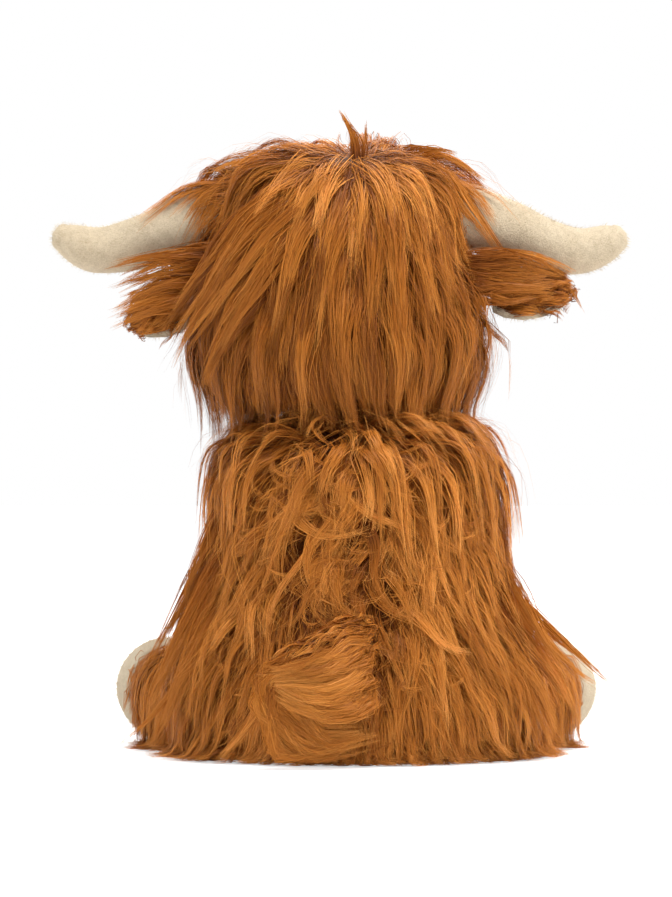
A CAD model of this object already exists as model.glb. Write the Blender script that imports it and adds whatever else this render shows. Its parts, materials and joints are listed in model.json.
"""The seated long-haired plush cow: its camera, light, cloth, fur and materials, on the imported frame.
Shapes are worked out in millimetres, in the row frame, and turned into metres when a mesh is made."""

import json
import math

import bpy
import numpy as np
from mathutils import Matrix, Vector
from mathutils.bvhtree import BVHTree


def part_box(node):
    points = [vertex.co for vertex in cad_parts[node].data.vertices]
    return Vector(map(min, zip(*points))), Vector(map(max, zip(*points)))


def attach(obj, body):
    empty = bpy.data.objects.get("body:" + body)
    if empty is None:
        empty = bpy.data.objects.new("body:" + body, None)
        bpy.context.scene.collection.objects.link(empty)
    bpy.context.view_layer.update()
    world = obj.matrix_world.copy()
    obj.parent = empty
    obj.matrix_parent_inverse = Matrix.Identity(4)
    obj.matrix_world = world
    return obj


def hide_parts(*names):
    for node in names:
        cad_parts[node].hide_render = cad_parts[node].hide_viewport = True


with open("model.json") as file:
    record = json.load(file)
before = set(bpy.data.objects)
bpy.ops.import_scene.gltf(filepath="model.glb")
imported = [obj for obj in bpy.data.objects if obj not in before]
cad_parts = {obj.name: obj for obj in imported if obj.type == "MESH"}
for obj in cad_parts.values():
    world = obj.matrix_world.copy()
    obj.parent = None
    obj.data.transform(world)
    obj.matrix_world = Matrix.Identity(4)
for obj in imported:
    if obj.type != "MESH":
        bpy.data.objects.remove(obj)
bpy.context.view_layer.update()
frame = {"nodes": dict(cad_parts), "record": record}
MM = 0.001
rng = np.random.default_rng(20)
joints = {j["name"]: np.array(j["pos_m"]) / MM for j in frame["record"]["behaviour"]["joints"]}
SIDES = {1: "left", -1: "right"}
DOWN = np.array([0, 0, -1.0])

# Sizes that the frame has, in millimetres and degrees
TORSO = dict(height=157, wide=79, deep=74, seat=70, shares=[
    (0.97, 0.08), (1, 0.2), (0.95, 0.4), (0.88, 0.62), (0.84, 0.8), (0.74, 0.92), (0.5, 0.985)])
HEAD = dict(height=127, wide=68, deep=60, shares=[
    (0.48, 0.015), (0.82, 0.08), (0.97, 0.22), (1, 0.42), (0.95, 0.63), (0.8, 0.82), (0.52, 0.95)])
HEAD_BASE = np.array([8.0, -9.0, 157.0])
NECK = np.array([0.0, -6.0, 150.0])
NECK_RADIUS = 36
CROWN = np.array([5.0, 20.0, 280.0])
COAT = 9.5  # from the cloth to the coat's outer face, on the torso and head
MUZZLE = dict(half=(36, 40, 25), ahead=23, below=24)
HORN = dict(radius=14.5, thinner=7, inside=30, out=65, above=33, rise=20)
EAR = dict(half_width=16, thick=5, length={1: 31, -1: 36}, droop={1: 33, -1: 1}, turn=48)
LEGS = {
    "front": dict(joint="shoulder", radius=15, waist=13.5, hoof=16.5, hoof_length=27, coat=4.5, turn=16),
    "hind": dict(joint="hip", radius=26, waist=22, hoof=24, hoof_length=31, coat=5.7, turn=12)}
FRONT_DROP = 110  # from the shoulder straight down to the hoof's end
HIND_LENGTH = 68
TAIL_INSET = 7
TAIL_ROOT = joints["tail_lift"] - (0, TAIL_INSET, 0)


# Camera, floor and light
def linked(name, data):
    item = bpy.data.objects.new(name, data)
    bpy.context.scene.collection.objects.link(item)
    return item


def fed(tree, node, inputs):
    """Gives a node its inputs: links for sockets, and constants."""
    for socket, value in inputs.items():
        if hasattr(value, "links"):
            tree.links.new(value, node.inputs[socket])
        else:
            node.inputs[socket].default_value = value
    return node


def look_at(item, place, target):
    item.location = place
    item.rotation_mode = "QUATERNION"
    item.rotation_quaternion = (Vector(target) - Vector(place)).to_track_quat("-Z", "Y")


def add_camera():
    distance, rise, height = 2.5, math.radians(0.5), 0.4126
    target = Vector((0.0097, 0, 0.1421))
    camera = linked("camera", bpy.data.cameras.new("camera"))
    camera.data.sensor_width = 36
    camera.data.lens = 36 * distance / height
    look_at(camera, target + distance * Vector((0, math.cos(rise), math.sin(rise))), target)
    bpy.context.scene.camera = camera


def add_light(name, place, size, watts):
    light = bpy.data.lights.new(name, "AREA")
    light.size, light.energy = size, watts
    look_at(linked(name, light), Vector(place), Vector((0, 0, 0.13)))


def seen_or(tree, seen, unseen):
    """A value socket: seen where the camera or a reflection looks straight at it, and else unseen."""
    path = tree.nodes.new("ShaderNodeLightPath")
    mix = tree.nodes.new("ShaderNodeMix")
    mix.data_type = "FLOAT"
    either = tree.nodes.new("ShaderNodeMath")
    either.operation = "MAXIMUM"
    fed(tree, either, {0: path.outputs["Is Camera Ray"], 1: path.outputs["Is Glossy Ray"]})
    fed(tree, mix, {"Factor": either.outputs[0], "A": unseen, "B": seen})
    return mix.outputs["Result"]


def add_stage():
    scene = bpy.context.scene
    scene.view_settings.view_transform = "Standard"
    world = bpy.data.worlds.new("world")
    scene.world = world
    world.use_nodes = True
    tree = world.node_tree
    fed(tree, tree.nodes["Background"], {"Color": (1, 1, 1, 1), "Strength": seen_or(tree, 1.0, 0.5)})

    mesh = bpy.data.meshes.new("floor")
    half = 6
    corners = [(-half, -half, 0), (half, -half, 0), (half, half, 0), (-half, half, 0)]
    mesh.from_pydata(corners, [], [(0, 1, 2, 3)])
    linked("floor", mesh)
    material = bpy.data.materials.new("floor_white")
    material.use_nodes = True
    tree = material.node_tree
    fed(tree, tree.nodes["Principled BSDF"], {
        "Base Color": (0.9, 0.9, 0.9, 1), "Roughness": 0.9, "Emission Color": (1, 1, 1, 1),
        "Emission Strength": seen_or(tree, 0.62, 0.0)})
    mesh.materials.append(material)

    add_light("key", (-0.3, 0.45, 2.15), 1.2, 48)
    add_light("side_left", (1.6, 0.4, 0.7), 1.2, 6)
    add_light("side_right", (-1.6, 0.5, 0.8), 1.2, 9)
    add_light("front", (-0.4, -1.6, 1.0), 1.3, 14)


# Curves and surfaces
def unit(v):
    return v / np.maximum(np.linalg.norm(v, axis=-1, keepdims=True), 1e-9)


def smooth(x):
    x = np.clip(x, 0, 1)
    return x * x * (3 - 2 * x)


def laid(way, normal):
    """The direction of way along a surface."""
    return unit(way - normal * np.einsum("ij,ij->i", way, normal)[:, None])


def spline(points, count, centripetal=False):
    """count + 1 points on the curve through points, evenly in its own parameter."""
    p = np.array(points, float)
    ends = (2 * p[0] - p[1], 2 * p[-1] - p[-2]) if centripetal else (p[0], p[-1])
    p = np.vstack([ends[0], p, ends[1]])
    out = []
    for share in np.linspace(0, len(points) - 1, count + 1):
        i = min(int(share), len(points) - 2)
        u = share - i
        a, b, c, d = p[i:i + 4]
        if centripetal:
            gaps = [max(np.linalg.norm(y - x), 1e-6) ** 0.5 for x, y in ((a, b), (b, c), (c, d))]
            m1 = ((b - a) / gaps[0] - (c - a) / (gaps[0] + gaps[1]) + (c - b) / gaps[1]) * gaps[1]
            m2 = ((c - b) / gaps[1] - (d - b) / (gaps[1] + gaps[2]) + (d - c) / gaps[2]) * gaps[1]
        else:
            m1, m2 = (c - a) / 2, (d - b) / 2
        out.append((2 * u**3 - 3 * u**2 + 1) * b + (u**3 - 2 * u**2 + u) * m1
                   + (3 * u**2 - 2 * u**3) * c + (u**3 - u**2) * m2)
    return np.array(out)


def inset(points, depth):
    """Moves [radius, height] points in along their normals."""
    tangent = unit(np.gradient(points, axis=0))
    return points + np.stack([-tangent[:, 1], tangent[:, 0]], 1) * depth


def even(points, count):
    """Resamples a polyline to count evenly spaced points."""
    gone = np.concatenate([[0], np.cumsum(np.linalg.norm(np.diff(points, axis=0), axis=1))])
    at = np.linspace(0, gone[-1], count)
    return np.stack([np.interp(at, gone, points[:, k]) for k in range(points.shape[1])], 1)


def ring_faces(rings, sides):
    r, s = np.meshgrid(np.arange(rings - 1), np.arange(sides), indexing="ij")
    n = (s + 1) % sides
    corners = [r * sides + s, r * sides + n, (r + 1) * sides + n, (r + 1) * sides + s]
    return np.stack(corners, -1).reshape(-1, 4)


def revolve(profile, sides, flat=1.0):
    """A surface of [radius, height] points turned round +Z. The profile runs from the bottom up."""
    turn = np.linspace(0, 2 * np.pi, sides, endpoint=False)
    radius = np.maximum(profile[:, 0], 0.02)[:, None]
    x, y = radius * np.cos(turn), radius * np.sin(turn) * flat
    z = np.repeat(profile[:, 1][:, None], sides, 1)
    return np.stack([x, y, z], -1).reshape(-1, 3), ring_faces(len(profile), sides)


def tube(path, radii, sides):
    """A tube of changing radius along a path, without twist."""
    tangent = unit(np.gradient(path, axis=0))
    start = np.cross(tangent[0], [0, 0, 1.0])
    if np.linalg.norm(start) < 0.2:
        start = np.cross(tangent[0], [0, 1.0, 0])
    normal = [unit(start)]
    for t in tangent[1:]:
        normal.append(unit(normal[-1] - t * np.dot(normal[-1], t)))
    normal = np.array(normal)
    across = np.cross(tangent, normal)
    turn = np.linspace(0, 2 * np.pi, sides, endpoint=False)
    ring = normal[:, None] * np.cos(turn)[None, :, None] + across[:, None] * np.sin(turn)[None, :, None]
    points = path[:, None] + ring * np.maximum(radii, 0.02)[:, None, None]
    return points.reshape(-1, 3), ring_faces(len(path), sides)


def vertex_normals(verts, faces):
    a, b, c, d = (verts[faces[:, k]] for k in range(4))
    cross = np.cross(c - a, d - b)
    normal = np.zeros_like(verts)
    for k in range(4):
        np.add.at(normal, faces[:, k], cross)
    return unit(normal)


def joined(*parts):
    verts, faces, start = [], [], 0
    for v, f in parts:
        verts.append(v)
        faces.append(f + start)
        start += len(v)
    return np.vstack(verts), np.vstack(faces)


def placed(part, place, direction):
    """Stands a form from +Z onto a direction, with its origin at place."""
    turn = Vector((0, 0, 1)).rotation_difference(Vector(direction)).to_matrix()
    return part[0] @ np.array(turn).T + place, part[1]


# Meshes
def cloth(name, part, body, material, node):
    """A piece of cloth in place of a CAD node."""
    verts, faces = part
    mesh = bpy.data.meshes.new(name)
    mesh.from_pydata((verts * MM).tolist(), [], faces.tolist())
    mesh.update()
    mesh.shade_smooth()
    piece = linked(name, mesh)
    mesh.materials.append(material)
    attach(piece, body)
    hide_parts(node)


def ribbons(name, points, normals, width, tone, taper, body, material, tilt, start=0.02):
    """A mesh of flat ribbons, one to a row of points, each facing along the normals but rolled by tilt. Its
    colour is that of a hair from the share start of its length on."""
    count, steps = points.shape[:2]
    tangent = unit(np.gradient(points, axis=1))
    across = unit(np.cross(tangent, normals))
    up = np.cross(across, tangent)
    across = across * np.cos(tilt)[:, None, None] + up * np.sin(tilt)[:, None, None]
    half = (width[:, None] * taper[None, :] / 2)[..., None]
    verts = np.stack([points - across * half, points + across * half], 2).astype(np.float32) * MM
    verts = verts.reshape(-1, 3)
    base = (np.arange(count)[:, None] * steps + np.arange(steps - 1)[None, :]) * 2
    quads = np.stack([base, base + 1, base + 3, base + 2], -1).reshape(-1, 4)

    mesh = bpy.data.meshes.new(name)
    mesh.vertices.add(len(verts))
    mesh.vertices.foreach_set("co", verts.ravel())
    mesh.loops.add(quads.size)
    mesh.loops.foreach_set("vertex_index", quads.ravel().astype(np.int32))
    mesh.polygons.add(len(quads))
    mesh.polygons.foreach_set("loop_start", np.arange(0, quads.size, 4, dtype=np.int32))
    mesh.update(calc_edges=True)
    mesh.shade_smooth()

    # Across the picture of colours runs the strand's tone, and up it the way from root to tip
    rows = np.linspace(start, 0.98, steps)
    column = 0.02 + 0.955 * tone[:, None]
    uv = np.zeros((count, steps - 1, 4, 2), np.float32)
    corners = [(0, rows[:-1]), (0.004, rows[:-1]), (0.004, rows[1:]), (0, rows[1:])]
    for k, (aside, row) in enumerate(corners):
        uv[..., k, 0] = column + aside
        uv[..., k, 1] = row
    mesh.uv_layers.new(name="OFBake").data.foreach_set("uv", uv.ravel())
    mesh.materials.append(material)
    piece = linked(name, mesh)
    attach(piece, body)


# Fur
GUIDE_STEPS = 14
STRAND_STEPS = 8
PIECE_STRANDS = 14000  # keeps each fur piece under 200,000 triangles
STRAND_SHARE = 1.0
STRAND_WIDTH = 0.34 * 1
DRAG = 0.45  # how much of its direction a hair keeps at each step
FLATNESS = 0.32  # a lock's depth as a share of its width


def waves(seed, wavelength, count=7):
    """A smooth random vector field, with values of about 1 at most places."""
    r = np.random.default_rng(seed)
    k = unit(r.normal(size=(count, 3))) * (2 * np.pi / (wavelength * r.uniform(0.7, 1.5, (count, 1))))
    a = unit(r.normal(size=(count, 3)))
    phase = r.uniform(0, 2 * np.pi, count)
    return lambda p: np.sin(p @ k.T + phase) @ a * (1.7 / math.sqrt(count))


def scatter(part, spacing, keep=None, thick=6):
    """Roots on a surface, no two nearer than spacing: places and normals. thick tells how hard it tries."""
    verts, faces = part
    normals = vertex_normals(verts, faces)
    tri = np.concatenate([faces[:, [0, 1, 2]], faces[:, [0, 2, 3]]])
    a, b, c = (verts[tri[:, k]] for k in range(3))
    area = np.linalg.norm(np.cross(b - a, c - a), axis=1) / 2
    tries = int(area.sum() / spacing**2 * thick) + 10
    pick = rng.choice(len(tri), size=tries, p=area / area.sum())
    r1, r2 = np.sqrt(rng.random(tries)), rng.random(tries)
    weights = np.stack([1 - r1, r1 * (1 - r2), r1 * r2], 1)
    points = np.einsum("nk,nkj->nj", weights, verts[tri[pick]])
    normal = unit(np.einsum("nk,nkj->nj", weights, normals[tri[pick]]))
    if keep is not None:
        good = keep(points, normal)
        points, normal = points[good], normal[good]
    cells, chosen = {}, []
    keys = np.floor(points / spacing).astype(int)
    near = [(i, j, k) for i in (-1, 0, 1) for j in (-1, 0, 1) for k in (-1, 0, 1)]
    for n, key in enumerate(map(tuple, keys)):
        here = points[n]
        if all(np.sum((points[m] - here) ** 2) >= spacing**2
               for d in near for m in cells.get((key[0] + d[0], key[1] + d[1], key[2] + d[2]), ())):
            cells.setdefault(key, []).append(n)
            chosen.append(n)
    return points[chosen], normal[chosen]


class Lie:
    """What hair lies on: surfaces, each with the height that other bodies' hair keeps above it."""

    def __init__(self, *parts):
        verts, faces = joined(*[part for part, _ in parts])
        self.tree = BVHTree.FromPolygons(verts.tolist(), faces.tolist())
        self.least = np.concatenate([np.full(len(part[1]), least, float) for part, least in parts])

    def nearest(self, points):
        found = [self.tree.find_nearest(p) for p in points.tolist()]
        place = np.array([f[0] for f in found])
        normal = np.array([f[1] for f in found])
        away = points - place
        height = np.linalg.norm(away, axis=1)
        inside = np.einsum("ij,ij->i", away, normal) < 0
        height = np.where(inside, -height, height)
        return normal, height, self.least[[f[2] for f in found]]

    def outside(self, points, clear=0.0):
        return self.nearest(points)[1] > clear


def march(skin, roots, normals, length, layer, lift, press, weight, curl):
    """Grows one guide hair from each root, as the skin's comb and coat say. curl turns it within the coat, in
    radians a millimetre, and weight is how it hangs."""
    lie, comb, coat = skin["lie"], skin["comb"], skin["coat"]
    place = roots.copy()
    way = laid(comb(place, normals), normals)
    way = unit(normals * lift + way * (1 - lift) + rng.normal(size=way.shape) * 0.08)
    path, facing = [place.copy()], [normals.copy()]
    step = (length / GUIDE_STEPS)[:, None]
    lowest = 0.8 + 1.6 * layer
    turned = np.zeros(len(roots))
    for k in range(GUIDE_STEPS):
        share = k / GUIDE_STEPS
        normal, height, least = lie.nearest(place)
        target = np.maximum(coat(place) * layer * smooth(share / 0.3), least * smooth(share / 0.25))
        combed = comb(place, normal)
        if curl is not None:
            turned = turned + curl * step[:, 0]
            side = np.cross(normal, combed)
            combed = combed * np.cos(turned)[:, None] + side * np.sin(turned)[:, None]
        near = np.clip(1 - (height - target) / 5, 0, 1)[:, None]
        rise = np.clip((target - height) / step[:, 0], -press, 0.9)[:, None]
        hanging = unit(DOWN * weight + combed * 0.5)
        wanted = unit(near * unit(laid(combed, normal) + normal * rise) + (1 - near) * hanging)
        way = unit(way * DRAG + wanted * (1 - DRAG))
        place = place + way * step
        normal, height, least = lie.nearest(place)
        floor_height = np.maximum(0.6 + 1.2 * share, least * smooth(share / 0.25))
        place = place + normal * np.clip(floor_height - height, 0, None)[:, None]
        under = place[:, 2] < lowest
        place[:, 2] = np.maximum(place[:, 2], lowest)
        way[under, 2] = np.maximum(way[under, 2], 0)
        way = unit(way)
        path.append(place.copy())
        facing.append(normal.copy())
    path, facing = np.stack(path, 1), np.stack(facing, 1)
    path[:, 1:-1] = (path[:, :-2] + 2 * path[:, 1:-1] + path[:, 2:]) / 4
    return path, unit(facing)


def strands_of(path, facing, per_lock, radius, clump, steps, frizz=0.35, sub=5, shorter=0.35, wander=0.5,
               tight=0.7):
    """Strands round each guide, in sub-locks whose strands draw together towards their tips."""
    locks, marks = path.shape[:2]
    tangent = unit(np.gradient(path, axis=1))
    across = unit(np.cross(tangent, facing))
    up = np.cross(across, tangent)
    owner = np.repeat(np.arange(locks), per_lock)
    count = len(owner)
    share = np.linspace(0, 1, steps)

    # Sub-locks: where each leaves the lock's middle and how far its tip strays
    sub_at = rng.normal(size=(locks, sub, 2)) * 0.55
    sub_tip = rng.normal(size=(locks, sub, 2)) * [0.5, 0.25]
    sub_long = 1 - shorter * rng.random((locks, sub)) ** 1.3
    sub_long[:, 0] = 1
    which = rng.integers(0, sub, count)
    at = sub_at[owner, which]
    tip = sub_tip[owner, which]
    own = rng.normal(size=(count, 2)) * 0.5
    long = sub_long[owner, which] * (1 - 0.22 * rng.random(count) ** 1.5)

    marks_at = np.clip(share * long[:, None], 0, 1) * (marks - 1)
    low = np.minimum(marks_at.astype(int), marks - 2)
    part = (marks_at - low)[..., None]

    def take(field):
        return field[owner[:, None], low] * (1 - part) + field[owner[:, None], low + 1] * part

    middle, side, out, along = take(path), unit(take(across)), unit(take(up)), unit(take(tangent))
    size = radius[owner][:, None]
    together = 1 - clump * smooth(share * 1.1)
    spread = size * (1 + 0.25 * np.sin(np.pi * share))
    sub_clump = 1 - tight * smooth(share * 1.1)
    x = spread * (at[:, :1] * together + tip[:, :1] * smooth(share) * 0.5 + own[:, :1] * sub_clump)
    z = spread * FLATNESS * (at[:, 1:] * together + tip[:, 1:] * smooth(share) + own[:, 1:] * sub_clump)
    back = size * rng.normal(size=(count, 1)) * 0.7 * (1 - smooth(share * 1.6))
    phase = rng.random((count, 2)) * 2 * np.pi
    turns = 2 * np.pi * rng.uniform(0.5, 1.5, (count, 1)) * share
    loose = np.where(rng.random((count, 1)) < 0.04, 5.0, 1.0)
    swing = np.sin(phase[:, :1] + turns) * frizz * loose * share
    swing_out = np.sin(phase[:, 1:] + turns) * frizz * loose * 0.6 * share
    sub_phase = rng.random((locks, sub))[owner, which][:, None] * 2 * np.pi
    stray = np.sin(sub_phase + 4.0 * share) * wander * share * 0.6
    points = middle + side * (x + swing + stray)[..., None] + out * (z + swing_out)[..., None]
    points = points + along * back[..., None]
    points[..., 2] = np.maximum(points[..., 2], 0.5)
    return points, out, owner


def drawn(name, body, guide, facing, per, radius, clump, steps, base, width, start=0.02, **more):
    """Strands round the guides, each in its own tone, cut into pieces that aren't too heavy."""
    per_lock = max(3, int(per * STRAND_SHARE))
    points, out, owner = strands_of(guide, facing, per_lock, radius, clump, steps, **more)
    count = len(owner)
    spread = {"torso": 0.2, "tail": 0.16, "head": 0.14}.get(body, 0.11)
    tone = rng.normal(size=len(guide))[owner] * spread + rng.normal(size=count) * 0.09
    tone = np.clip(tone + np.broadcast_to(base, len(guide))[owner], 0, 1)
    wide = STRAND_WIDTH * width * rng.uniform(0.7, 1.2, count)
    share = np.linspace(0, 1, steps)
    taper = np.minimum(1, 0.75 + 1.5 * share) * (1 - 0.86 * share**2.6)
    roll = rng.normal(size=count) * 0.4
    most = int(PIECE_STRANDS * (STRAND_STEPS - 1) / (steps - 1))
    cuts = np.array_split(np.arange(count), max(1, math.ceil(count / most)))
    for index, cut in enumerate(cuts):
        label = f"{name}_{index + 1}" if len(cuts) > 1 else name
        ribbons(label, points[cut], out[cut], wide[cut], tone[cut], taper, body, fur, roll[cut], start)


def fur_on(name, skin, spacing, keep, length, per, radius, base, clump=0.8, layers=(0.12, 1.05), width=1.0,
           steps=STRAND_STEPS, curl=None, lift=0.7, press=0.25, weight=1.0, tone_layer=0.12, **more):
    """One coat: roots, guides, strands and ribbons. length and curl are functions of the roots, and base, the
    tone, can be one."""
    roots, normals = scatter(skin["part"], spacing, keep)
    layer = rng.random(len(roots)) ** 0.8
    guide, facing = march(skin, roots, normals, length(roots), layers[0] + layers[1] * layer, lift, press,
                          weight, None if curl is None else curl(roots))
    shade = base(roots) if callable(base) else base
    drawn(name, skin["body"], guide, facing, per, radius * rng.uniform(0.8, 1.2, len(roots)), clump, steps,
          shade + tone_layer * layer, width, **more)


def lone(name, body, curves, per, radius, clump=0.85, base=0.5, width=1.0, **more):
    """Locks along given curves, seen from behind."""
    guide = np.stack([even(spline(c, 40), GUIDE_STEPS + 1) for c in curves])
    facing = np.broadcast_to(np.array([0, 1.0, 0]), guide.shape)
    radii = np.full(len(guide), float(radius))
    drawn(name, body, guide, facing, per, radii, clump, STRAND_STEPS, base, width, **more)


# Materials
def new_material(name, roughness, sheen=0.0, sheen_tint=(1, 1, 1), specular=0.5):
    material = bpy.data.materials.new(name)
    material.use_nodes = True
    tree = material.node_tree
    shader = fed(tree, tree.nodes["Principled BSDF"], {
        "Roughness": roughness, "Specular IOR Level": specular, "Sheen Weight": sheen,
        "Sheen Roughness": 0.4, "Sheen Tint": (*sheen_tint, 1)})
    return material, tree, shader


def ramp(tree, value, stops):
    node = fed(tree, tree.nodes.new("ShaderNodeValToRGB"), {"Fac": value})
    elements = node.color_ramp.elements
    while len(elements) < len(stops):
        elements.new(0.5)
    for element, (at, colour) in zip(elements, stops):
        element.position, element.color = at, (*colour, 1)
    return node.outputs["Color"]


def blended(tree, kind, share, first, second):
    node = tree.nodes.new("ShaderNodeMix")
    node.data_type, node.blend_type = "RGBA", kind
    return fed(tree, node, {0: share, 6: first, 7: second}).outputs[2]


def noise(tree, scale, detail=3, rough=0.55):
    place = tree.nodes.new("ShaderNodeTexCoord").outputs["Object"]
    node = fed(tree, tree.nodes.new("ShaderNodeTexNoise"), {
        "Scale": scale, "Detail": detail, "Roughness": rough, "Vector": place})
    return node.outputs["Fac"]


def threads(tree, axis, scale, distortion):
    place = tree.nodes.new("ShaderNodeTexCoord").outputs["Object"]
    node = tree.nodes.new("ShaderNodeTexWave")
    node.bands_direction = axis
    return fed(tree, node, {"Scale": scale, "Distortion": distortion, "Vector": place})


def finished(made, colour, heights=(), distance=0.0002):
    """Links the colour, and bumps from (height socket, strength) pairs, one on the other."""
    material, tree, shader = made
    bumps = {}
    for height, strength in heights:
        bump = fed(tree, tree.nodes.new("ShaderNodeBump"), {
            "Strength": strength, "Distance": distance, "Height": height, **bumps})
        bumps = {"Normal": bump.outputs["Normal"]}
    fed(tree, shader, {"Base Color": colour, **bumps})
    return material


def strand_material(made, along_stops, tone_stops):
    """Hair with a colour from root to tip, and each strand in its own tone."""
    tree = made[1]
    uv = tree.nodes.new("ShaderNodeUVMap")
    uv.uv_map = "OFBake"
    split = fed(tree, tree.nodes.new("ShaderNodeSeparateXYZ"), {0: uv.outputs["UV"]})
    along = ramp(tree, split.outputs["Y"], along_stops)
    tone = ramp(tree, split.outputs["X"], tone_stops)
    return finished(made, blended(tree, "MULTIPLY", 1.0, along, tone))


def fur_material():
    """Long pile, dark at the root and paler at the tip."""
    return strand_material(
        new_material("long_fur", 0.45, sheen=0.08, sheen_tint=(1.0, 0.6, 0.3), specular=0.14),
        [(0.0, (0.11, 0.025, 0.003)), (0.25, (0.27, 0.073, 0.007)), (0.55, (0.46, 0.145, 0.016)),
         (0.85, (0.57, 0.200, 0.030)), (1.0, (0.63, 0.250, 0.047))],
        [(0.0, (0.42, 0.34, 0.25)), (0.3, (0.77, 0.71, 0.62)), (0.55, (1.0, 1.0, 1.0)),
         (0.8, (1.24, 1.36, 1.65)), (1.0, (1.55, 1.8, 2.6))])


def pile_material():
    """The fibres of the short pile."""
    return strand_material(
        new_material("plush_fibres", 0.75, sheen=0.3, sheen_tint=(1.0, 0.95, 0.85), specular=0.2),
        [(0.0, (0.64, 0.53, 0.37)), (0.6, (0.71, 0.60, 0.44)), (1.0, (0.78, 0.68, 0.52))],
        [(0.0, (0.9, 0.885, 0.87)), (0.5, (1.0, 1.0, 1.0)), (1.0, (1.08, 1.08, 1.08))])


def backing_material(name, dark, light):
    """The cloth that the pile stands on, dark between the strands."""
    made = new_material(name, 0.85, sheen=0.1)
    tree = made[1]
    fine, broad = noise(tree, 900, 4), noise(tree, 60, 3)
    grain = ramp(tree, fine, [(0.3, (0.5, 0.5, 0.5)), (0.7, (1, 1, 1))])
    colour = blended(tree, "MULTIPLY", 0.6, blended(tree, "MIX", broad, dark, light), grain)
    return finished(made, colour, [(fine, 0.8)], 0.001)


def plush_material():
    """Short cream pile: fine mottling, brushed patches and a soft sheen."""
    made = new_material("short_plush", 0.8, sheen=0.35, sheen_tint=(1.0, 0.93, 0.8), specular=0.2)
    tree = made[1]
    fine, patch, broad = noise(tree, 1500, 3, 0.7), noise(tree, 260, 3), noise(tree, 45, 2)
    colour = ramp(tree, fine, [
        (0.28, (0.53, 0.425, 0.29)), (0.5, (0.68, 0.57, 0.41)), (0.75, (0.79, 0.685, 0.52))])
    shade = ramp(tree, patch, [(0.3, (0.86, 0.84, 0.81)), (0.6, (1.0, 1.0, 1.0))])
    wide = ramp(tree, broad, [(0.3, (0.93, 0.91, 0.88)), (0.7, (1.0, 1.0, 1.0))])
    colour = blended(tree, "MULTIPLY", 1.0, blended(tree, "MULTIPLY", 1.0, colour, shade), wide)
    return finished(made, colour, [(patch, 0.35), (fine, 0.6)], 0.0008)


def filling_material():
    """Polyester wadding: tangled white fibres."""
    made = new_material("wadding", 0.9, sheen=0.5)
    fibres, lumps = noise(made[1], 700, 8, 0.75), noise(made[1], 70, 4)
    colour = ramp(made[1], fibres, [(0.3, (0.66, 0.65, 0.62)), (0.6, (0.9, 0.89, 0.86))])
    return finished(made, colour, [(lumps, 0.6), (fibres, 0.7)], 0.002)


def pouch_material():
    """A plain weave of two sets of threads, over pellets."""
    made = new_material("cotton_pouch", 0.85, sheen=0.15)
    tree, pitch = made[1], 0.0006
    sets = [threads(tree, axis, math.pi / pitch / 10, 0.4).outputs["Color"] for axis in "XY"]
    weave = blended(tree, "MULTIPLY", 1.0, *sets)
    pellets = fed(tree, tree.nodes.new("ShaderNodeTexVoronoi"), {"Scale": 300})
    colour = blended(tree, "MIX", weave, (0.52, 0.50, 0.43, 1), (0.72, 0.70, 0.62, 1))
    return finished(made, colour, [(pellets.outputs["Distance"], 0.5), (weave, 0.3)], 0.001)


def thread_material():
    made = new_material("satin_thread", 0.4, sheen=0.3)
    satin = threads(made[1], "X", 500, 1.5).outputs["Fac"]
    colour = ramp(made[1], satin, [(0.2, (0.05, 0.022, 0.011)), (0.8, (0.17, 0.08, 0.042))])
    return finished(made, colour, [(satin, 0.6)], 0.0003)


def eye_material():
    made = new_material("glossy_eye", 0.06, specular=0.4)
    fine, broad = noise(made[1], 420, 2), noise(made[1], 90, 2)
    colour = ramp(made[1], fine, [(0.4, (0.004, 0.0035, 0.0035)), (0.8, (0.010, 0.008, 0.007))])
    return finished(made, colour, [(broad, 0.02)])


def washer_material():
    made = new_material("moulded_washer", 0.38)
    fine = noise(made[1], 1600, 3)
    colour = ramp(made[1], fine, [(0.3, (0.70, 0.70, 0.69)), (0.7, (0.80, 0.80, 0.79))])
    return finished(made, colour, [(fine, 0.15)])


# The cloth forms
def sized(form):
    return [(w * form["wide"], h * form["height"]) for w, h in form["shares"]]


def torso_form(depth):
    points = [(TORSO["seat"], 0), *sized(TORSO), (0, TORSO["height"])]
    profile = inset(spline(points, 46), depth)
    profile = profile[profile[:, 1] > 8]
    rim = TORSO["seat"] - 3
    seat = np.array([(0.02, 0.6), (rim * 0.5, 0.6), (rim - 3, 0.6), (rim, 1.2), (rim + 1.5, 4)])
    profile = np.vstack([seat, profile])
    profile[-1, 0] = 0.02
    return revolve(profile, 72, TORSO["deep"] / TORSO["wide"])


def head_form(depth):
    curve = spline([(0, 0), *sized(HEAD), (0, HEAD["height"])], 46)
    depths = depth - (depth - 5) * smooth((curve[:, 1:] / HEAD["height"] - 0.55) / 0.4)
    profile = inset(curve, depths)
    profile[0], profile[-1] = (0.02, depth), (0.02, HEAD["height"] - 5)
    verts, faces = revolve(profile, 72, HEAD["deep"] / HEAD["wide"])
    return verts + HEAD_BASE, faces


def ball_form(radius, centre, sides=40, rings=24, scale=(1, 1, 1)):
    turn = np.linspace(-np.pi / 2, np.pi / 2, rings)
    verts, faces = revolve(np.stack([np.cos(turn), np.sin(turn)], 1) * radius, sides)
    return verts * scale + centre, faces


def muzzle_form():
    place = (0, MUZZLE["half"][1] - HEAD["deep"] - MUZZLE["ahead"], HEAD["height"] / 2 - MUZZLE["below"])
    return ball_form(1, HEAD_BASE + place, 56, 36, MUZZLE["half"])


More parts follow.
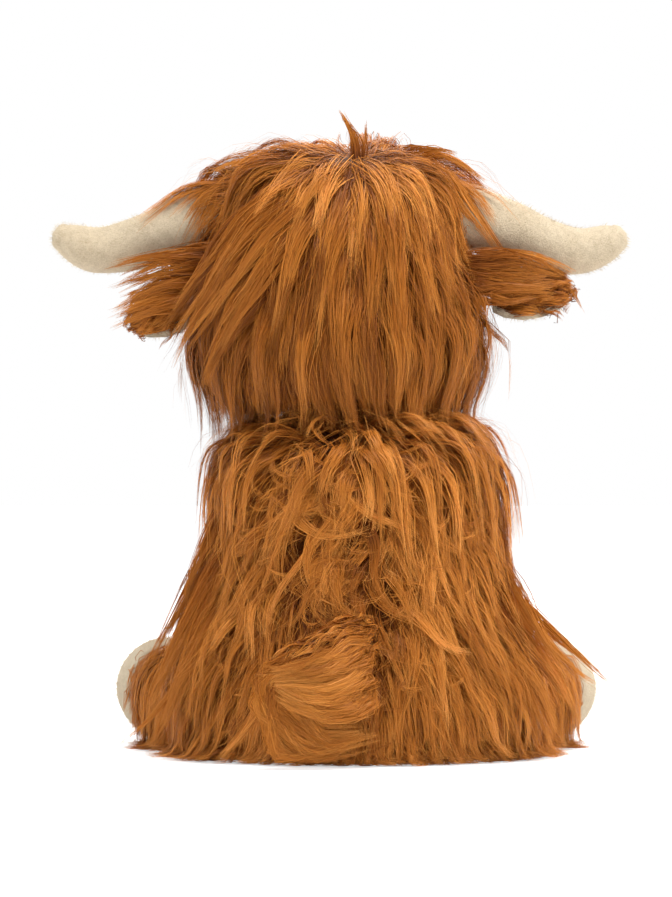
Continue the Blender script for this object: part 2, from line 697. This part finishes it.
def sleeve_profile(radius, waist, seam, depth):
    arc = np.linspace(-np.pi / 2, 0, 9)[:-1]
    ball = np.stack([np.cos(arc), np.sin(arc)], 1) * (radius - depth)
    side = inset(spline([(radius, 0), ((radius + waist) / 2, seam * 0.6), (waist, seam)], 10), depth)
    side[0] = (radius - depth, 0)
    side[-1, 1] = seam
    return np.vstack([ball, side])


def hoof_profile(waist, radius, seam, length):
    shape = [(radius * w, seam + length * a) for w, a in ((1, 0.35), (0.94, 0.7), (0.6, 0.93))]
    curve = spline([(waist, seam + 0.4), *shape, (0.02, seam + length)], 22)
    tuck = np.array([(waist * 0.8, seam - 1.5), (waist - 1.2, seam - 0.6)])
    return np.vstack([tuck, curve])


def leg_parts(kind, side):
    """(root, direction, length to the hoof's seam, sleeve, hoof) of a leg."""
    size = LEGS[kind]
    root, turn = joints[f"{SIDES[side]}_{size['joint']}"], math.radians(size["turn"])
    if kind == "front":
        direction = np.array([0, -math.sin(turn), -math.cos(turn)])
        length = FRONT_DROP / math.cos(turn)
    else:
        direction = np.array([side * math.sin(turn), -math.cos(turn), 0])
        length = HIND_LENGTH
    seam = length - size["hoof_length"]
    sleeve = revolve(sleeve_profile(size["radius"], size["waist"], seam, size["coat"]), 36)
    hoof = revolve(hoof_profile(size["waist"], size["hoof"], seam, size["hoof_length"]), 48)
    return root, direction, seam, placed(sleeve, root, direction), placed(hoof, root, direction)


def horn_form(side):
    """A horn that comes out of the head, bends and turns up, with soft lumps in its stuffing."""
    reach, out = HEAD["wide"] - HORN["inside"], HORN["out"] + HORN["inside"]
    height = HEAD["height"] / 2 + HORN["above"]
    points = [HEAD_BASE + (side * (reach + out * a), -8 * a, height - HORN["rise"] * b + c)
              for a, b, c in ((0, -0.05, 0), (0.3, 0.33, 0), (0.55, 0.78, 0), (0.77, 1, 0), (1, 1, 8))]
    path = even(spline(points, 80, True), 60)
    length = np.linalg.norm(np.diff(path, axis=0), axis=1).sum()
    radius, thinner = HORN["radius"], HORN["thinner"]
    swell = spline([(radius, 0), (radius - thinner * 0.12, length * 0.35),
                    (radius - thinner * 0.5, length * 0.72), (radius - thinner, length * 0.93),
                    (0, length)], 60)
    at = np.linspace(0, length, 60)
    radii = np.interp(at, swell[:, 1], swell[:, 0])
    end = at > length - 6
    gone = (at[end] - at[end][0]) / (length - at[end][0])
    radii[end] = radii[end][0] * np.sqrt(np.clip(1 - gone**2, 0, 1))
    verts, faces = tube(path, radii, 40)
    lumps = waves(31 + side, 26)
    verts = verts + vertex_normals(verts, faces) * (lumps(verts)[:, :1] * 0.45)
    return verts, faces


def ear_axes(side):
    """(root, along, across, out) of an ear, out being its back."""
    droop, turn = math.radians(EAR["droop"][side]), math.radians(EAR["turn"])
    along = np.array([side * math.cos(droop), 0, -math.sin(droop)])
    back = np.array([0, math.cos(turn), math.sin(turn)])
    across = unit(np.cross(back, along))
    return joints[f"{SIDES[side]}_ear_flap"], along, across, np.cross(along, across)


def ear_form(side, thick, width, lift, cup, slide=0.0):
    """A leaf-shaped pad, cupped across. lift moves it out of the ear's middle, slide to its lower edge."""
    root, along, across, out = ear_axes(side)
    rows, columns = 26, 15
    share = np.linspace(0, 1, rows)
    leaf = np.interp(share, [0, 0.15, 0.4, 0.65, 0.85, 0.95, 1], [0.62, 0.86, 0.95, 0.8, 0.48, 0.26, 0.03])
    half = EAR["half_width"] * leaf * width
    s = np.linspace(-1, 1, columns)
    turn = np.concatenate([s[::-1], s])
    rim = np.sqrt(np.clip(1 - s**2, 0, 1))
    top = np.concatenate([rim, -rim])
    body = np.clip(half[:, None] / (half.max() * 0.5), 0, 1) * thick / 2
    x = EAR["length"][side] * share[:, None] * (0.98 if lift else 1)
    y = half[:, None] * turn[None, :] + side * slide
    z = body * top[None, :] + lift + cup * (turn[None, :] ** 2) * half[:, None] / EAR["half_width"]
    points = root + x[..., None] * along + y[..., None] * across + z[..., None] * out
    return points.reshape(-1, 3), ring_faces(rows, columns * 2)


def tail_path():
    """From inside the torso's coat, out and round to the cow's left, close against the back."""
    shares = [(0.2, 0.5, 0.97), (0.65, 0.9, 0.82), (0.96, 1, 0.62), (0.9, 0.95, 0.42), (0.5, 0.85, 0.27)]
    points = [TAIL_ROOT - (0, TAIL_INSET, 0), TAIL_ROOT]
    points += [(40 * a, TAIL_ROOT[1] + 15 * b, 58 * c) for a, b, c in shares]
    return even(spline(points, 80, True), 40)


add_camera()
add_stage()
fur = fur_material()
backing = backing_material("fur_backing", (0.06, 0.016, 0.002, 1), (0.12, 0.034, 0.004, 1))
limb_backing = backing_material("limb_backing", (0.2, 0.062, 0.008, 1), (0.3, 0.1, 0.014, 1))
plush = plush_material()
pile = pile_material()

torso = joined(torso_form(COAT), ball_form(NECK_RADIUS - COAT, NECK))
head = head_form(COAT)
legs = {(kind, side): leg_parts(kind, side) for kind in LEGS for side in SIDES}
horns = {side: horn_form(side) for side in SIDES}
muzzle = muzzle_form()
tail_line = tail_path()
tail_radii = np.interp(np.linspace(0, 1, 40), [0, 0.3, 0.8, 0.95, 1], [7, 5.5, 4.5, 4, 1])
tail_core = tube(tail_line, tail_radii, 20)
ears = {side: ear_form(side, EAR["thick"], 1, 0, -1.5) for side in SIDES}
linings = {side: ear_form(side, 3.2, 1.08, -2.6, 1.2, 3.5) for side in SIDES}

# The cloth
cloth("torso_cloth", torso, "torso", backing, "body_skin")
cloth("head_cloth", head, "head", backing, "head_skin")
cloth("muzzle_plush", muzzle, "head", plush, "muzzle")
cloth("tail_core", tail_core, "tail", backing, "tail")
for side, label in SIDES.items():
    cloth(f"horn_plush_{label}", horns[side], "head", plush, f"horn_{label}")
    cloth(f"ear_pad_{label}", ears[side], f"{label}_ear", limb_backing, f"ear_{label}")
    cloth(f"ear_lining_plush_{label}", linings[side], f"{label}_ear", plush, f"ear_lining_{label}")
    for kind in LEGS:
        sleeve, hoof = legs[kind, side][3:]
        body = f"{label}_{kind}_leg"
        cloth(f"{kind}_leg_cloth_{label}", sleeve, body, limb_backing, f"{kind}_leg_{label}")
        cloth(f"{kind}_hoof_plush_{label}", hoof, body, plush, f"{kind}_hoof_{label}")

# What the hair of each body lies on
eyes = [ball_form(9.5, (np.array(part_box(f"eye_{label}")[0]) + np.array(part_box(f"eye_{label}")[1])) / 2 / MM
                  + (0, -8, 0)) for label in ("left", "right")]
sleeves = [leg[3] for leg in legs.values()]
hooves = [leg[4] for leg in legs.values()]
on_torso = Lie((torso, 0), *[(s, 3.5) for s in sleeves], *[(h, 1.0) for h in hooves], (head, 4))
on_head = Lie((head, 0), (torso, 8), (muzzle, 0.5), *[(h, 0.6) for h in horns.values()],
              *[(e, 1.5) for e in eyes], *[(e, 4) for e in ears.values()], *[(s, 4) for s in sleeves])
torso_lie, head_lie, muzzle_lie = (Lie((part, 0)) for part in (torso, head, muzzle))
horn_lie = Lie(*[(h, 0) for h in horns.values()])
sleeve_lie = Lie(*[(s, 0) for s in sleeves])

sway, ripple, tangle = waves(1, 80), waves(2, 30), waves(3, 26)
UNDERCOAT = dict(per=16, radius=4.2, clump=0.3, layers=(0.1, 0.5), width=1.6, steps=5, frizz=0.9)


# The head's fur: it whirls round the crown, then hangs
def head_comb(p, n):
    away = p - CROWN
    gone = np.linalg.norm(away, axis=1, keepdims=True)
    flat = laid(away, n)
    swirl = np.cross(n, flat)
    pull = np.exp(-gone / 50)
    left = smooth(away[:, :1] / 30)
    face = smooth((-p[:, 1:2] - 35) / 25) * smooth((250 - p[:, 2:3]) / 30)
    aside = np.sign(p[:, :1] - HEAD_BASE[0]) * np.array([1.0, 0, 0])
    fan = smooth((p[:, 2:3] - 195 + 20 * left) / 60)
    fan = fan * (1 - smooth((np.abs(p[:, :1] - HEAD_BASE[0]) - 32 - 12 * left) / 22))
    return unit(flat * (0.3 + (0.9 + 1.1 * left) * fan + 1.5 * pull) + swirl * 0.4 * np.exp(-gone / 22)
                + DOWN * (1.0 - 0.7 * pull) + aside * face * 0.8 + sway(p) * 0.22 + ripple(p) * 0.16)


def head_keep(p, n):
    neck = (p[:, 2] < 172) & (np.hypot(p[:, 0], p[:, 1] + 6) < 42)
    return muzzle_lie.outside(p, 1.5) & horn_lie.outside(p, 0.5) & torso_lie.outside(p, 2) & ~neck


def head_length(p):
    rise = (p[:, 2] - HEAD_BASE[2]) / HEAD["height"]
    face = smooth((-p[:, 1] - 30) / 25)
    length = 64 + 8 * rng.normal(size=len(p))
    length = length * (1 - 0.55 * face * smooth((0.72 - rise) / 0.2)) * (1 - 0.2 * face)
    left = p[:, 0] > HEAD_BASE[0]
    over_horn = smooth((np.abs(p[:, 0] - HEAD_BASE[0]) - 30) / 14) * smooth((rise - 0.5) / 0.16)
    length = length * (1 - np.where(left, 0.5, 0.72) * over_horn)
    return np.clip(length, 14, np.maximum((p[:, 2] - 161) * 1.08 + 14 + 5 * rng.normal(size=len(p)), 16))


def head_coat(p):
    horn = smooth((np.abs(p[:, 0] - HEAD_BASE[0]) - 34) / 16) * smooth((p[:, 2] - 222) / 14)
    crown = np.exp(-np.sum((p - CROWN) ** 2, axis=1) / 45**2)
    return COAT - 1 * crown + 3 * smooth((235 - p[:, 2]) / 50) - 6 * horn * (1 - smooth((p[:, 2] - 262) / 15))


def head_tone(p):
    left = smooth((p[:, 0] - 8) / 40)
    right = smooth((8 - p[:, 0]) / 40)
    return 0.16 + 0.54 * smooth((p[:, 2] - 244) / 34) - 0.1 * left + 0.14 * right


def near_crown(p, n):
    return np.sum((p - CROWN) ** 2, axis=1) < 18**2


head_skin = dict(body="head", part=head, lie=on_head, comb=head_comb, coat=head_coat)
fur_on("head_undercoat", head_skin, 5.2, head_keep, lambda p: np.minimum(26, head_length(p)), base=0.24,
       **UNDERCOAT)
fur_on("head_fur", head_skin, 5.4, head_keep, head_length, 40, 4.4, lambda p: head_tone(p) - 0.1, clump=0.7,
       layers=(0.12, 0.75), sub=3, lift=0.35, press=0.5)
fur_on("head_locks", head_skin, 8.5, head_keep, lambda p: head_length(p) * 1.1, 80, 5.4, head_tone,
       clump=0.86, layers=(0.75, 0.35), sub=6, tight=0.75, lift=0.35, press=0.5, tone_layer=0.08,
       shorter=0.55, wander=0.8)
fur_on("head_whorl", head_skin, 4.5, near_crown, lambda p: rng.uniform(40, 62, len(p)), 50, 4.5, 0.7,
       layers=(0.3, 0.5), lift=0.12, press=0.5, start=0.5)
fur_on("head_flyaway", head_skin, 7.0, head_keep, lambda p: head_length(p) * 1.1, 7, 6.5,
       lambda p: head_tone(p) + 0.18, clump=0.1, layers=(0.9, 0.4), width=0.55, frizz=1.1, wander=1.2,
       lift=0.35, press=0.45)


# The torso's fur: combed down and outwards, over the hips, and mussed in the middle of the back
def muss_at(p):
    return np.exp(-((p[:, 0] - 8) / 30) ** 2 - ((p[:, 2] - 104) / 46) ** 2) * smooth((p[:, 1] - 15) / 30)


def hip_at(p):
    back = smooth((p[:, 1] + 62) / 30) * (1 - smooth((p[:, 1] - 30) / 40))
    top = np.where(p[:, 0] < 0, 80, 100)
    return smooth((np.abs(p[:, 0]) - 40) / 28) * smooth((top - p[:, 2]) / (top - 38)) * back


def torso_comb(p, n):
    side = np.clip(p[:, :1] / 30, -1, 1) * np.array([1.0, 0, 0])
    high = smooth((p[:, 2:3] - 85) / 50)
    right = smooth(-p[:, :1] / 40)
    low = smooth((100 - 20 * right - p[:, 2:3]) / (50 - 10 * right))
    flank = smooth((np.abs(p[:, :1]) - 22) / 35)
    muss = muss_at(p)[:, None]
    return unit(DOWN * (1 - 0.7 * muss) + side * (0.12 + high * (0.16 + 0.3 * right) + 0.5 * low * flank)
                + unit(p * [1, 1, 0]) * low * 0.25 + sway(p) * 0.12 + ripple(p) * 0.05
                + tangle(p) * muss * 0.65)


def torso_keep(p, n):
    return (p[:, 2] > 5) & head_lie.outside(p, -4) & sleeve_lie.outside(p, 0)


def torso_length(p):
    most = (p[:, 2] - 1) * 1.12 + 8 + 12 * hip_at(p)
    return np.clip((62 + 8 * rng.normal(size=len(p))) * (1 - 0.25 * muss_at(p)), 8, most)


def torso_curl(p):
    return rng.normal(size=len(p)) * (0.001 + 0.018 * muss_at(p))


def torso_tone(p):
    return 0.5 + 0.14 * smooth((p[:, 2] - 95) / 40) - 0.14 * (1 - smooth(p[:, 2] / 50))


def torso_coat(p):
    return COAT + 5 * smooth((p[:, 2] - 122) / 16) + 8 * hip_at(p)


torso_skin = dict(body="torso", part=torso, lie=on_torso, comb=torso_comb, coat=torso_coat)
fur_on("torso_undercoat", torso_skin, 5.2, torso_keep, lambda p: np.minimum(26, torso_length(p)), base=0.32,
       **UNDERCOAT)
fur_on("torso_fur", torso_skin, 5.4, torso_keep, torso_length, 36, 4.4, lambda p: torso_tone(p) - 0.12,
       clump=0.7, layers=(0.12, 0.75), curl=torso_curl, lift=0.4, press=0.45, sub=3, wander=0.3, frizz=0.3,
       shorter=0.5)
fur_on("torso_locks", torso_skin, 7.0,
       lambda p, n: torso_keep(p, n) & (rng.random(len(p)) > 0.7 * muss_at(p)),
       torso_length, 52, 4.1, torso_tone, clump=0.82, layers=(0.72, 0.36), curl=torso_curl, lift=0.4,
       press=0.45, frizz=0.4, shorter=0.6)
fur_on("torso_wisps", torso_skin, 4.6,
       lambda p, n: torso_keep(p, n) & (rng.random(len(p)) < muss_at(p) * 1.3),
       lambda p: rng.uniform(22, 46, len(p)), 9, 1.1, 0.5, clump=0.6, layers=(0.75, 0.4), width=0.7,
       curl=lambda p: rng.normal(size=len(p)) * 0.06, frizz=1.0, sub=2)
fur_on("torso_flyaway", torso_skin, 7.5, torso_keep, torso_length, 7, 7, 0.7, clump=0.1, layers=(0.85, 0.5),
       width=0.55, curl=lambda p: rng.normal(size=len(p)) * (0.004 + 0.03 * muss_at(p)), lift=0.45,
       press=0.3, frizz=1.6, wander=1.6)


# The legs' fur
def leg_fur(kind, side):
    root, direction, seam, sleeve, hoof = legs[kind, side]
    hind = kind == "hind"
    past_seam, slant, longest = (8, 0.6, 44) if hind else (11, 1, 38)

    def comb(p, n):
        if hind:
            return unit(direction * 0.25 + DOWN * 1.1 + np.array([side * 0.4, 0.3, 0]) + ripple(p) * 0.15)
        return unit(direction * 0.9 + DOWN * 0.35 + ripple(p) * 0.2)

    def keep(p, n):
        return torso_lie.outside(p, 1) & (p[:, 2] > 1.5)

    def length(p):
        ahead = (p - root) @ direction
        most = np.maximum((seam + past_seam - ahead) / slant, 11)
        return np.clip(longest * rng.uniform(0.8, 1.1, len(p)), 8, most)

    def coat(p):
        return 3.2 - 1.8 * smooth((side * p[:, 0] - 96) / 8) if hind else np.full(len(p), 5.0)

    label = SIDES[side]
    skin = dict(body=f"{label}_{kind}_leg", part=sleeve, lie=Lie((sleeve, 0), (hoof, 0.8), (torso, 4)),
                comb=comb, coat=coat)
    fur_on(f"{kind}_leg_fur_{label}", skin, 4.4, keep, length, 40, 3.6, 0.47, clump=0.7, steps=6, lift=0.35,
           press=0.1 if hind else 0.25, start=0.5)


for kind, side in legs:
    leg_fur(kind, side)


# The tail's fur: a smooth band that runs to the left, folds, and curls back under itself
tail_way = unit(np.gradient(tail_line, axis=0))


def tail_comb(p, n):
    nearest = np.argmin(((p[:, None] - tail_line[None]) ** 2).sum(-1), 1)
    return unit(tail_way[nearest] + ripple(p) * 0.25)


tail_skin = dict(body="tail", part=tail_core, lie=Lie((tail_core, 0), (torso, 7)), comb=tail_comb,
                 coat=lambda p: np.full(len(p), 3.0))
fur_on("tail_fur", tail_skin, 3.2, lambda p, n: torso_lie.outside(p, 0.5),
       lambda p: rng.uniform(14, 22, len(p)), 30, 3.2, 0.5, clump=0.5, weight=0.3, lift=0.15, press=0.6,
       curl=lambda p: rng.normal(size=len(p)) * 0.03, wander=0.4, sub=3)


def tail_band(u):
    dip = 7 * u * math.sin(math.pi * min(u, 0.8))
    return [(3, 0, 1 - 25 * u), (-3, 9, -1 - 25 * u), (5, 19, -4 - 26 * u - dip * 0.4),
            (16, 24, -8 - 22 * u - dip), (28, 25, -12 - 13 * u - dip * 0.6), (41, 22, -15 - 6 * u)]


def tail_fold(u):
    return [(26 + 8 * u, 19, -13), (40 - u, 21, -17 - 3 * u), (42 - 9 * u, 22, -30 + 3 * u),
            (37 - 13 * u, 21, -45 + 9 * u), (22 - 7 * u, 18, -53 + 10 * u),
            (8 - 16 * rng.random(), 14, -47 + 8 * u)]


def tail_curves(shape, count, stray):
    return [TAIL_ROOT + rng.normal(size=(6, 3)) * stray + shape(u) for u in np.linspace(0, 1, count)]


lone("tail_band", "tail", tail_curves(tail_band, 44, [2.0, 1.0, 1.4]), 80, 2.8, clump=0.62,
     base=0.6 + 0.05 * rng.normal(size=44), frizz=0.4, sub=3, start=0.4)
lone("tail_fold", "tail", tail_curves(tail_fold, 26, [2.6, 1.3, 2.4]), 70, 2.6, clump=0.8,
     base=0.56 + 0.07 * rng.normal(size=26), frizz=0.6, wander=1.1, sub=4, shorter=0.55, start=0.25)
tail_tip = TAIL_ROOT + np.array([(36, 19, -17), (43, 20, -28), (52, 17, -42), (63, 13, -54)])
lone("tail_lock", "tail", [tail_tip] * 2, 50, 2.4, base=0.55, sub=3, start=0.3)


# The ears' fur
def ear_fur(side):
    root, along, across, out = ear_axes(side)

    def comb(p, n):
        return unit(along - DOWN * 0.12 + ripple(p) * 0.2)

    def keep(p, n):
        back = n @ out
        low = (p - root) @ across * side
        return ((back > 0.3) & (low < 12.5) | ((back > -0.8) & (n[:, 2] > 0))) & head_lie.outside(p, 1)

    def length(p):
        ahead = (p - root) @ along
        return np.clip(EAR["length"][side] + 3 - ahead, 5, 17) * rng.uniform(0.75, 1.15, len(p))

    label = SIDES[side]
    skin = dict(body=f"{label}_ear", part=ears[side], lie=Lie((ears[side], 0), (head, 4)), comb=comb,
                coat=lambda p: np.full(len(p), 2.6))
    fur_on(f"ear_fur_{label}", skin, 3.4, keep, length, 40, 2.6, 0.36, clump=0.5, steps=6, lift=0.3)


for side in SIDES:
    ear_fur(side)

# Locks that stand away from the flanks
loose = [[(62, 22, 114), (70, 26, 98), (78, 24, 78), (76, 22, 64)],
         [(62, 24, 66), (78, 24, 40), (94, 20, 18), (110, 16, 4)],
         [(66, 6, 90), (76, 6, 72), (84, 4, 56), (90, 2, 46)],
         [(-63, 10, 80), (-82, 12, 65), (-103, 10, 47), (-121, 8, 31)],
         [(-62, 16, 76), (-82, 16, 58), (-99, 14, 41), (-112, 12, 32)],
         [(-60, 6, 82), (-76, 6, 67), (-92, 4, 54), (-105, 2, 44)]]
over_hip = [[(56, 30, 94), (70, 34, 70), (83, 32, 48), (92, 28, 28)],
            [(54, 34, 80), (69, 38, 56), (81, 36, 34), (88, 30, 12)],
            [(60, 20, 98), (75, 22, 76), (88, 20, 55), (97, 16, 38)],
            [(56, 30, 72), (73, 34, 46), (86, 30, 22), (93, 26, 5)],
            [(62, 10, 88), (78, 14, 64), (90, 12, 40), (98, 8, 20)],
            [(58, 36, 62), (72, 38, 38), (80, 34, 18), (84, 30, 4)]]
over_hip += [[(-1.02 * x, y, z - 12 * smooth((z - 25) / 50)) for x, y, z in lock] for lock in over_hip]
lone("flank_locks", "torso", loose, 60, 2.8, clump=0.92, sub=4, shorter=0.4, start=0.2)
lone("hip_locks", "torso", over_hip, 110, 5.0, clump=0.8, shorter=0.5, start=0.2, wander=0.8)

# Loose locks and a curl over the middle of the back, each as (x, z) pairs
mussed = [[(16, 140), (26, 146), (36, 143), (40, 135), (34, 130), (25, 130), (18, 135)],
          [(18, 142), (17, 128), (12, 116), (2, 107), (-6, 104)],
          [(13, 134), (6, 121), (-5, 113), (-17, 109), (-28, 102)],
          [(34, 122), (27, 110), (16, 103), (2, 104), (-7, 108)],
          [(4, 121), (14, 108), (26, 92), (38, 74), (42, 58)],
          [(22, 126), (30, 112), (37, 96), (43, 80), (45, 66)],
          [(14, 112), (20, 99), (22, 86), (17, 76), (8, 72)],
          [(-4, 112), (-9, 98), (-8, 84), (-15, 72), (-24, 66)],
          [(10, 96), (19, 93), (21, 85), (14, 80), (8, 86)]]


def over_back(pairs):
    """Lays a curve on the back's coat, and its root in it."""
    path = spline([(x, 0, z) for x, z in pairs], 12)
    for k, (x, _, z) in enumerate(path):
        found = torso_lie.tree.ray_cast((x, 300, z), (0, -1, 0))[0]
        path[k, 1] = found[1] + COAT + 1.5 - 6 * smooth(1 - k / 3)
    return path


lone("muss_locks", "torso", [over_back(pairs) for pairs in mussed], 44, 2.3, clump=0.9,
     base=0.5 + 0.06 * rng.normal(size=len(mussed)), sub=4, shorter=0.5, start=0.2, wander=0.7, frizz=0.6)

# Locks that stand out over the ears
for side, label in SIDES.items():
    left = side > 0
    over = []
    for u in np.linspace(0, 1, 17):
        stray = rng.normal(size=(3, 3)) * [1.0, 1.5, 1.5]
        start = joints[f"{label}_ear_flap"] + (-side * 8, 12, 15 - (23 if left else 18) * u)
        reach = (42 if left else 45 - 12 * u) * rng.uniform(0.78, 1.12)
        drop = 6 + 6 * u if left else 8 - 9 * u
        ways = [(0, 0, 0), (side * reach * 0.5, 4, 1 - 4 * u), (side * reach, -2, -drop)]
        over.append(start + stray + ways)
    lone(f"ear_locks_{label}", f"{label}_ear", over, 34, 2.6, clump=0.92, base=0.46 if left else 0.36, sub=4,
         shorter=0.5, start=0.2)

# The head's own locks between each horn and ear
for side, label in SIDES.items():
    behind = []
    for u in np.linspace(0, 1, 7):
        start = np.array([60 if side > 0 else -46, 8, (234 if side > 0 else 230) - 8 * u])
        start = start + rng.normal(size=3)
        ways = [(0, 0, 0), (side * 15, 1, -1 - 2 * u), (side * (32 - 6 * u), -3, -7 - 4 * u)]
        behind.append(start + np.array(ways))
    lone(f"ear_root_locks_{label}", "head", behind, 40, 2.8, clump=0.9, base=0.32, sub=4, shorter=0.5,
         start=0.4)

# Stray hairs beyond the right ear and over the horns' roots
tip = joints["right_ear_flap"] + (-30, 4, 0)
lone("ear_stray", "right_ear", [[tip, tip + (-7, 0, -2), tip + (-13, 0, -13)]], 14, 0.8, base=0.4, width=0.8)
strays = [[(0, 0, 0), (-12, 4, 2), (-24, 6, -4), (-33, 4, -11)],
          [(4, 0, 3), (-10, 6, 4), (-20, 8, 1)],
          [(70, 0, -2), (84, 4, -2), (93, 4, -6)]]
lone("horn_strays", "head", [HEAD_BASE + (-34, 4, 118) + np.array(stray) for stray in strays], 60, 2.0,
     clump=0.92, base=0.6, sub=3, start=0.4)

# Locks that sweep down and out over the left cheek
outer = spline([(44, 44, 262), (66, 34, 238), (79, 20, 212), (88, 11, 188), (97, 6, 166)], 41)
inner = spline([(14, 56, 256), (38, 58, 230), (52, 50, 206), (63, 41, 184), (72, 34, 160)], 41)
sweep = []
for u in np.linspace(0, 1, 17):
    first = int(rng.uniform(0, 17))
    lock = (outer + (inner - outer) * u)[np.linspace(first, first + 22, 5).astype(int)]
    fan = np.linspace(0, 1, 5)[:, None] ** 2 * [9 - 7 * u + 3 * rng.normal(), 0, 2 * rng.normal()]
    lock = lock + fan + rng.normal(size=3) * [1.5, 1.2, 1.5]
    normal, height, _ = head_lie.nearest(lock)
    rise = np.clip(height, [6, 11.5, 13, 13, 11.5], [7, 13, 15, 19, 26]) - height
    sweep.append(lock + normal * rise[:, None])
lone("cheek_locks", "head", sweep, 46, 3.4, clump=0.93, base=0.3 + 0.1 * rng.normal(size=17), sub=4,
     shorter=0.5, start=0.35)

# The tuft that stands up on the crown
top = CROWN + (-5, 0, -5)
lone("crown_tuft", "head", [[top, top + (1, 0, 9), top + (8, 0, 22)]], 70, 2.0, base=0.45)
lone("crown_wisp", "head", [[top + (-3, 0, 0), top + (-4, 0, 7), top + (-4, 0, 17)]], 16, 0.9)


# The short pile: fibres that stand on the plush and lean the way that it is brushed
def pile_on(name, body, part, lean, keep=None):
    roots, normals = scatter(part, 0.85, keep, thick=2)
    count = len(roots)
    way = unit(normals * 0.5 + lean + ripple(roots) * 0.4 + rng.normal(size=(count, 3)) * 0.35)
    long = rng.uniform(1.5, 2.6, (count, 1))
    bent = unit(way + lean * 0.5)
    points = np.stack([roots - normals * 0.2, roots + way * long / 2, roots + (way + bent) * long / 2], 1)
    facing = np.repeat(unit(np.cross(np.cross(way, normals + 0.01), way))[:, None], 3, 1)
    points[..., 2] = np.maximum(points[..., 2], 0.4)
    tone = np.clip(0.5 + rng.normal(size=count) * 0.1, 0, 1)
    ribbons(name, points, facing, rng.uniform(0.14, 0.24, count), tone, np.array([1, 0.8, 0.15]), body, pile,
            rng.normal(size=count) * 0.2)


def off_head(p, n):
    return head_lie.outside(p, 1)


def off_sleeves(p, n):
    return (p[:, 2] > 1.5) & sleeve_lie.outside(p, 0.3)


for side, label in SIDES.items():
    brushed = np.array([side * 0.6, 0, -0.1])
    pile_on(f"horn_pile_{label}", "head", horns[side], brushed, off_head)
    pile_on(f"ear_lining_pile_{label}", f"{label}_ear", linings[side], brushed * 0.6)
    for kind in LEGS:
        _, direction, _, _, hoof = legs[kind, side]
        pile_on(f"{kind}_hoof_pile_{label}", f"{label}_{kind}_leg", hoof, direction * 0.4, off_sleeves)
pile_on("muzzle_pile", "head", muzzle, np.array([0, 0.3, -0.3]), off_head)

# Materials for the solids that no piece replaces
carried = {"stuffing": filling_material(), "pouch": pouch_material(), "thread": thread_material(),
           "eye": eye_material(), "washer": washer_material()}
for entry in frame["record"]["subparts"]:
    item = frame["nodes"][entry["node"]]
    if not item.hide_render:
        for place in item.material_slots:
            place.material = carried[entry["material_slot"]]
